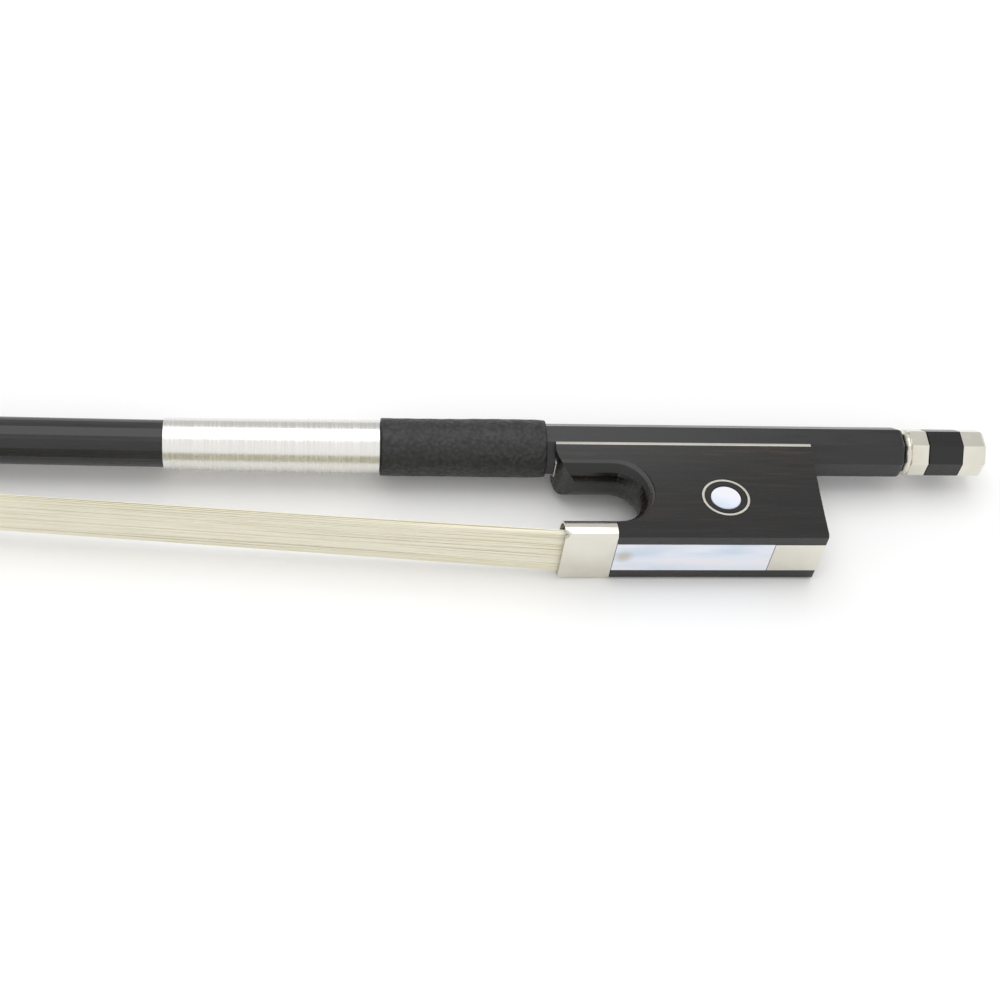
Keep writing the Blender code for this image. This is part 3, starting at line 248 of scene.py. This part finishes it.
def pearlShell():
    material, tree, shader = newMaterial("pearlShell")
    wave = noise(tree, places(tree, (30.0, 90.0, 110.0)), scale=3.0, rough=0.45)
    colour = ramp(tree, wave, (
        (0.26, (0.58, 0.68, 0.80)), (0.42, (0.72, 0.77, 0.86)), (0.55, (0.78, 0.81, 0.88)),
        (0.66, (0.84, 0.80, 0.84)), (0.78, (0.84, 0.76, 0.72))))
    middle = origin + Vector(shellSpot["place"]) / perMetre
    spot = addNode(tree, "ShaderNodeVectorMath", {1: middle}, operation="DISTANCE")
    tree.links.new(places(tree), spot.inputs[0])
    nearness = addNode(tree, "ShaderNodeMapRange", {
        "From Min": shellSpot["inner"], "From Max": shellSpot["outer"],
        "To Min": shellSpot["share"], "To Max": 0.0})
    tree.links.new(spot.outputs["Value"], nearness.inputs["Value"])
    dulled = addNode(tree, "ShaderNodeMix", {mixSecond: (*shellSpot["colour"], 1.0)}, data_type="RGBA")
    tree.links.new(nearness.outputs["Result"], dulled.inputs[mixFactor])
    tree.links.new(colour, dulled.inputs[mixFirst])
    tree.links.new(dulled.outputs[mixColour], shader.inputs["Base Color"])
    tree.links.new(spread(tree, wave, low=0.10, high=0.22), shader.inputs["Roughness"])
    shader.inputs["Coat Weight"].default_value = 0.6
    bump(tree, shader, wave, distance=0.00002, strength=0.4)
    return material


def plainMottle(name, dark, light, roughness, scale, stretch=(1.0, 1.0, 1.0), metallic=0.0):
    material, tree, shader = newMaterial(name)
    cloud = noise(tree, places(tree, stretch), scale, detail=4.0)
    tree.links.new(ramp(tree, cloud, ((0.3, dark), (0.7, light))), shader.inputs["Base Color"])
    rough = spread(tree, cloud, low=roughness - mottleReach, high=roughness + mottleReach)
    tree.links.new(rough, shader.inputs["Roughness"])
    shader.inputs["Metallic"].default_value = metallic
    bump(tree, shader, cloud, distance=0.00001, strength=0.5)
    return material


finishes = {
    "satinBlack": satinBlack(),
    "ebony": ebony(),
    "nickel": nickelSilver(),
    "wire": silverWire(),
    "leather": grainedLeather(),
    "hair": horsehair(),
    "pearl": pearlShell(),
    "bone": plainMottle(
        "bone", dark=(0.70, 0.64, 0.50), light=(0.84, 0.80, 0.70),
        roughness=0.30, scale=60.0, stretch=(1.0, 6.0, 6.0)),
    "liner": plainMottle(
        "blackLiner", dark=(0.008, 0.008, 0.008), light=(0.016, 0.016, 0.016),
        roughness=0.45, scale=200.0),
    "maple": plainMottle(
        "maple", dark=(0.52, 0.36, 0.20), light=(0.70, 0.54, 0.34),
        roughness=0.55, scale=30.0, stretch=(4.0, 40.0, 40.0)),
    "bound": plainMottle(
        "boundHair", dark=(0.42, 0.34, 0.18), light=(0.66, 0.58, 0.36),
        roughness=0.60, scale=40.0, stretch=(60.0, 4.0, 4.0)),
    "steel": plainMottle(
        "brightSteel", dark=(0.46, 0.46, 0.47), light=(0.60, 0.60, 0.61),
        roughness=0.26, scale=150.0, metallic=1.0),
    "brass": plainMottle(
        "brass", dark=(0.66, 0.46, 0.20), light=(0.80, 0.60, 0.30),
        roughness=0.28, scale=150.0, metallic=1.0),
}
finishNodes = {
    "satinBlack": ("stick",),
    "ebony": ("frog_body", "slide_base", "button_core"),
    "nickel": (
        "frog_lining", "lining_pin_1", "lining_pin_2", "ferrule", "eye_ring_near", "eye_ring_far",
        "heel_plate_lower", "heel_plate_back", "heel_pin_back_1", "heel_pin_back_2",
        "button_front_ring", "button_cap"),
    "pearl": ("slide_pearl", "eye_pearl_near", "eye_pearl_far"),
    "bone": ("tip_plate",),
    "liner": ("tip_liner",),
    "maple": ("tip_plug", "tip_wedge", "frog_plug", "ferrule_wedge"),
    "bound": ("tip_knot", "frog_knot"),
    "steel": ("screw",),
    "brass": ("eyelet",),
}


def setFinish(nodeName, finishName):
    cadObject = bpy.data.objects[nodeName]
    if not cadObject.material_slots:
        cadObject.data.materials.append(None)
    for materialSlot in cadObject.material_slots:
        materialSlot.material = finishes[finishName]


for finishName, nodeNames in finishNodes.items():
    for nodeName in nodeNames:
        setFinish(nodeName, finishName)
print("finishes on", sum(len(nodeNames) for nodeNames in finishNodes.values()), "CAD pieces")


# Stick's axis and radius, in millimetres from the handle's end face
stickShape = {
    "straight": 60.0,
    "shaft": 640.0,
    "rise": 48.5,
    "power": 2.29,
    "radius": 4.3,
    "neck": 2.7,
    "taper": 1.5,
}


def camberShare(x):
    return max((-x - stickShape["straight"]) / stickShape["shaft"], 0.0)


def camberHeight(x):
    return stickShape["rise"] * camberShare(x) ** stickShape["power"]


def shaftRadius(x):
    swell = stickShape["radius"] - stickShape["neck"]
    return stickShape["neck"] + swell * (1 - camberShare(x) ** stickShape["taper"])


def atHandle(x, y, z):
    return origin + Vector((x, y, z)) / perMetre


# Joins each ring to the next; a closed loft goes on from the last to the first, an open one has end faces
def loftRings(mesh, rings, closed):
    loops = [[mesh.verts.new(point) for point in ring] for ring in rings]
    pairs = list(zip(loops, loops[1:]))
    if closed:
        pairs.append((loops[-1], loops[0]))
    count = len(rings[0])
    for near, far in pairs:
        for i in range(count):
            j = (i + 1) % count
            mesh.faces.new((near[i], near[j], far[j], far[i]))
    if not closed:
        mesh.faces.new(loops[0])
        mesh.faces.new(loops[-1][::-1])


def linkPiece(name, mesh, finish):
    bmesh.ops.recalc_face_normals(mesh, faces=mesh.faces)
    data = bpy.data.meshes.new(name)
    mesh.to_mesh(data)
    mesh.free()
    data.shade_smooth()
    data.materials.append(finishes[finish])
    piece = bpy.data.objects.new(name, data)
    bpy.context.scene.collection.objects.link(piece)
    return piece


def sleeveRing(x, radiusAt, sides, shiftAt=None):
    ring = []
    for i in range(sides):
        angle = 2 * math.pi * i / sides
        radius = radiusAt(x, angle)
        place = x + (shiftAt(angle) if shiftAt else 0.0)
        ring.append(atHandle(place, camberHeight(x) - radius * math.cos(angle), radius * math.sin(angle)))
    return ring


def makeSleeve(name, outside, inside, finish):
    mesh = bmesh.new()
    loftRings(mesh, outside + inside, closed=True)
    return linkPiece(name, mesh, finish)


# Wire winding: a sleeve with one groove that runs round it like a thread
winding = {
    "start": -97.2,
    "end": -135.4,
    "turns": 150,
    "perTurn": 4,  # rings along each turn
    "sides": 40,
    "outStart": 0.60,
    "outEnd": 0.40,
    "groove": 0.03,
    "bore": 0.14,
}


def windingRadius(x, angle):
    share = (winding["start"] - x) / (winding["start"] - winding["end"])
    full = shaftRadius(x) + winding["outStart"] + (winding["outEnd"] - winding["outStart"]) * share
    phase = share * winding["turns"] - angle / (2 * math.pi)
    return full - winding["groove"] * (1 - abs(math.sin(math.pi * phase)))


def windingBore(x, angle):
    return shaftRadius(x) + winding["bore"]


def makeWinding():
    count = winding["turns"] * winding["perTurn"]
    span = winding["end"] - winding["start"]
    stations = [winding["start"] + span * i / count for i in range(count + 1)]
    outside = [sleeveRing(x, windingRadius, winding["sides"]) for x in stations]
    inside = [sleeveRing(x, windingBore, winding["sides"]) for x in (stations[-1], stations[0])]
    piece = makeSleeve("windingTurns", outside, inside, "wire")
    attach(piece, "stick_body")
    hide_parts("winding")


makeWinding()
print("winding made")


# Thumb leather: skived at the frog, with an edge that is not quite straight at the winding
leather = {
    "start": -67.15,
    "end": -97.0,
    "stations": 70,
    "boreStep": 10,  # the bore has every tenth station
    "sides": 72,
    "thick": 0.82,
    "outermost": 5.33,
    "skive": 2.4,
    "thinShare": 0.3,
    "bore": 0.15,
    "octagon": 4.77,  # radius over the handle's corners
    "octagonEnd": 69.5,
    "octagonFade": 14.0,
    "lump": 0.03,
    "lumpsAround": (3, 2),
    "lumpsAlong": (0.9, 0.7),
    "ragged": 0.22,
    "raggedWaves": (2, 5),
    "raggedTurn": 0.8,
}


def leatherBore(x, angle):
    fade = min(max((-x - leather["octagonEnd"]) / leather["octagonFade"], 0.0), 1.0)
    fade = fade * fade * (3 - 2 * fade)
    return leather["octagon"] + (shaftRadius(x) - leather["octagon"]) * fade + leather["bore"]


def leatherRadius(x, angle):
    bore = leatherBore(x, angle)
    skive = math.sin(math.pi / 2 * min((leather["start"] - x) / leather["skive"], 1.0))
    full = min(max(bore, shaftRadius(x)) + leather["thick"], leather["outermost"])
    thin = bore + leather["thick"] * leather["thinShare"]
    firstAround, secondAround = leather["lumpsAround"]
    firstAlong, secondAlong = leather["lumpsAlong"]
    waves = math.sin(firstAround * angle + firstAlong * x) * math.sin(secondAlong * x + secondAround * angle)
    return thin + (full - thin) * skive + leather["lump"] * (waves - 1) * skive


def leatherEdge(angle):
    first, second = leather["raggedWaves"]
    waves = math.sin(first * angle + leather["raggedTurn"]) * math.sin(second * angle)
    return leather["ragged"] * (1 + waves) / 2


def makeLeather():
    span = leather["end"] - leather["start"]
    stations = [leather["start"] + span * i / leather["stations"] for i in range(leather["stations"] + 1)]
    outside = [sleeveRing(x, leatherRadius, leather["sides"]) for x in stations[:-1]]
    outside.append(sleeveRing(stations[-1], leatherRadius, leather["sides"], leatherEdge))
    inside = [sleeveRing(x, leatherBore, leather["sides"]) for x in stations[::-leather["boreStep"]]]
    piece = makeSleeve("leatherWrap", outside, inside, "leather")
    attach(piece, "stick_body")
    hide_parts("thumb_leather")


makeLeather()
print("leather made")


# Hair: single hairs in three layers. A core fills the ribbon and hides most of the middle layer
hairShape = {
    "seed": 11,
    "layers": (-0.36, 0.0, 0.36),
    "perLayer": 74,
    "radius": 0.115,
    "inside": ((-47.7, -19.4), (-47.7, -19.7), (-48.2, -21.1), (-49.3, -21.3), (-57.05, -21.3)),
    "insideWidth": 7.8,
    "fan": (-59.25, -22.55),
    "fanWidth": 11.2,
    "mouth": (-65.85, -22.55),
    "mouthWidth": 12.0,
    "far": (-701.9, 28.0),
    "stations": 26,
    "crowding": 1.5,  # above 1 the stations lie closer at the mouth
    "runWidth": 10.4,
    "narrowing": 2.8,
    "gather": 1.6,
    "gatherLength": 35.0,
    "tipGap": 0.6,
    "tipLimit": -706.0,
    "tipRise": 0.25,
    "tipWidth": 6.0,
    "core": 0.30,
    "coreShare": 0.47,
    "halfSpread": 0.48,
    "halfLimit": 0.485,
    "jitter": 0.8,
    "margin": 0.1,
    "heightJitter": 0.02,
    "wander": 0.010,
    "wanderStep": 0.55,
    "wanderTurn": 6.28,
}


# From the knot in the frog's mortise, forward to the ferrule's mouth and on to the head
def hairLine():
    tipX = (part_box("hair")[0][0] - origin.x) * perMetre
    mouth = Vector(hairShape["mouth"])
    far = Vector(hairShape["far"])
    line = [(Vector(point), hairShape["insideWidth"]) for point in hairShape["inside"]]
    line.append((Vector(hairShape["fan"]), hairShape["fanWidth"]))
    line.append((mouth, hairShape["mouthWidth"]))
    length = (far - mouth).length
    for i in range(1, hairShape["stations"] + 1):
        share = (i / hairShape["stations"]) ** hairShape["crowding"]
        gathered = hairShape["gather"] * math.exp(-length * share / hairShape["gatherLength"])
        width = hairShape["runWidth"] - hairShape["narrowing"] * share + gathered
        line.append((mouth.lerp(far, share), width))
    tip = (max(tipX + hairShape["tipGap"], hairShape["tipLimit"]), far.y + hairShape["tipRise"])
    line.append((Vector(tip), hairShape["tipWidth"]))
    return line


def hairFrames(line):
    frames = []
    for i, (spot, width) in enumerate(line):
        before = line[max(i - 1, 0)][0]
        after = line[min(i + 1, len(line) - 1)][0]
        along = (after - before).normalized()
        frames.append((spot, width, Vector((-along.y, along.x))))
    return frames


def hairPoint(spot, across, height, side):
    return atHandle(spot.x + across.x * height, spot.y + across.y * height, side)


def addCore(mesh, frames):
    core, share = hairShape["core"], hairShape["coreShare"]
    corners = ((-core, -share), (-core, share), (core, share), (core, -share))
    rings = []
    for spot, width, across in frames:
        rings.append([hairPoint(spot, across, height, width * side) for height, side in corners])
    loftRings(mesh, rings, closed=False)


def addHair(mesh, frames, lateral, height, phase):
    radius = hairShape["radius"]
    limit = hairShape["halfLimit"]
    rings = []
    for step, (spot, width, across) in enumerate(frames):
        wander = hairShape["wander"] * math.sin(phase + step * hairShape["wanderStep"])
        side = min(max(lateral + wander, -limit), limit) * width
        rings.append([
            hairPoint(spot, across, height - radius, side), hairPoint(spot, across, height, side + radius),
            hairPoint(spot, across, height + radius, side), hairPoint(spot, across, height, side - radius)])
    loftRings(mesh, rings, closed=False)


def makeHair():
    dice = random.Random(hairShape["seed"])
    frames = hairFrames(hairLine())
    mesh = bmesh.new()
    addCore(mesh, frames)
    half = hairShape["halfSpread"]
    lift = hairShape["heightJitter"]
    for layer in hairShape["layers"]:
        for i in range(hairShape["perLayer"]):
            place = i + dice.random() * hairShape["jitter"] + hairShape["margin"]
            lateral = -half + 2 * half * place / hairShape["perLayer"]
            height = layer + dice.uniform(-lift, lift)
            phase = dice.uniform(0.0, hairShape["wanderTurn"])
            addHair(mesh, frames, lateral, height, phase)
    piece = linkPiece("hairRibbon", mesh, "hair")
    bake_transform(piece)
    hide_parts("hair")


makeHair()
print("hair made")


# Floor, in metres
floorShape = {"reach": 6.0, "height": -0.0002, "colour": (0.93, 0.93, 0.93), "roughness": 0.9}


def makeFloor():
    reach, height = floorShape["reach"], floorShape["height"]
    corners = [
        (-reach, -reach, height), (reach, -reach, height), (reach, reach, height), (-reach, reach, height)]
    mesh = bpy.data.meshes.new("floor")
    mesh.from_pydata(corners, [], [(0, 1, 2, 3)])
    floor = bpy.data.objects.new("floor", mesh)
    bpy.context.scene.collection.objects.link(floor)
    material, tree, shader = newMaterial("paleFloor")
    shader.inputs["Base Color"].default_value = (*floorShape["colour"], 1.0)
    shader.inputs["Roughness"].default_value = floorShape["roughness"]
    mesh.materials.append(material)


# Light: a pale room that is a little darker behind the bow, and a soft lamp
room = {"level": 0.86, "front": 1.0, "back": 0.66, "reach": 0.5, "plainShare": 0.5}
softbox = {"power": 3.6, "size": 0.9, "over": (-150.0, 250.0, 0.0), "height": 0.9, "aim": (-90.0, 0.0, 0.0)}


def makeRoom():
    world = bpy.data.worlds.new("world")
    bpy.context.scene.world = world
    world.use_nodes = True
    tree = world.node_tree
    background = tree.nodes["Background"]
    # A glossy ray sees the room's whole change from front to back, any other ray a share of it
    path = tree.nodes.new("ShaderNodeLightPath")
    seen = addNode(tree, "ShaderNodeMath", {0: room["plainShare"]}, operation="MAXIMUM")
    tree.links.new(path.outputs["Is Glossy Ray"], seen.inputs[1])
    strength = addNode(tree, "ShaderNodeMapRange", {"To Min": room["level"]})
    tree.links.new(seen.outputs["Value"], strength.inputs["Value"])
    direction = tree.nodes.new("ShaderNodeTexCoord")
    parts = tree.nodes.new("ShaderNodeSeparateXYZ")
    tree.links.new(direction.outputs["Generated"], parts.inputs["Vector"])
    change = addNode(tree, "ShaderNodeMapRange", {
        "From Min": -room["reach"], "From Max": room["reach"],
        "To Min": room["front"], "To Max": room["back"]})
    tree.links.new(parts.outputs["Y"], change.inputs["Value"])
    tree.links.new(change.outputs["Result"], strength.inputs["To Max"])
    background.inputs["Color"].default_value = (1.0, 1.0, 1.0, 1.0)
    tree.links.new(strength.outputs["Result"], background.inputs["Strength"])


def makeSoftbox():
    data = bpy.data.lights.new("softbox", "AREA")
    data.energy = softbox["power"]
    data.size = softbox["size"]
    lamp = bpy.data.objects.new("softbox", data)
    lamp.location = atHandle(*softbox["over"]) + Vector((0.0, 0.0, softbox["height"]))
    aim = atHandle(*softbox["aim"]) - lamp.location
    lamp.rotation_euler = aim.to_track_quat("-Z", "Y").to_euler()
    bpy.context.scene.collection.objects.link(lamp)


makeFloor()
makeRoom()
makeSoftbox()
bpy.context.scene.view_settings.view_transform = "Standard"
print("floor and light set")
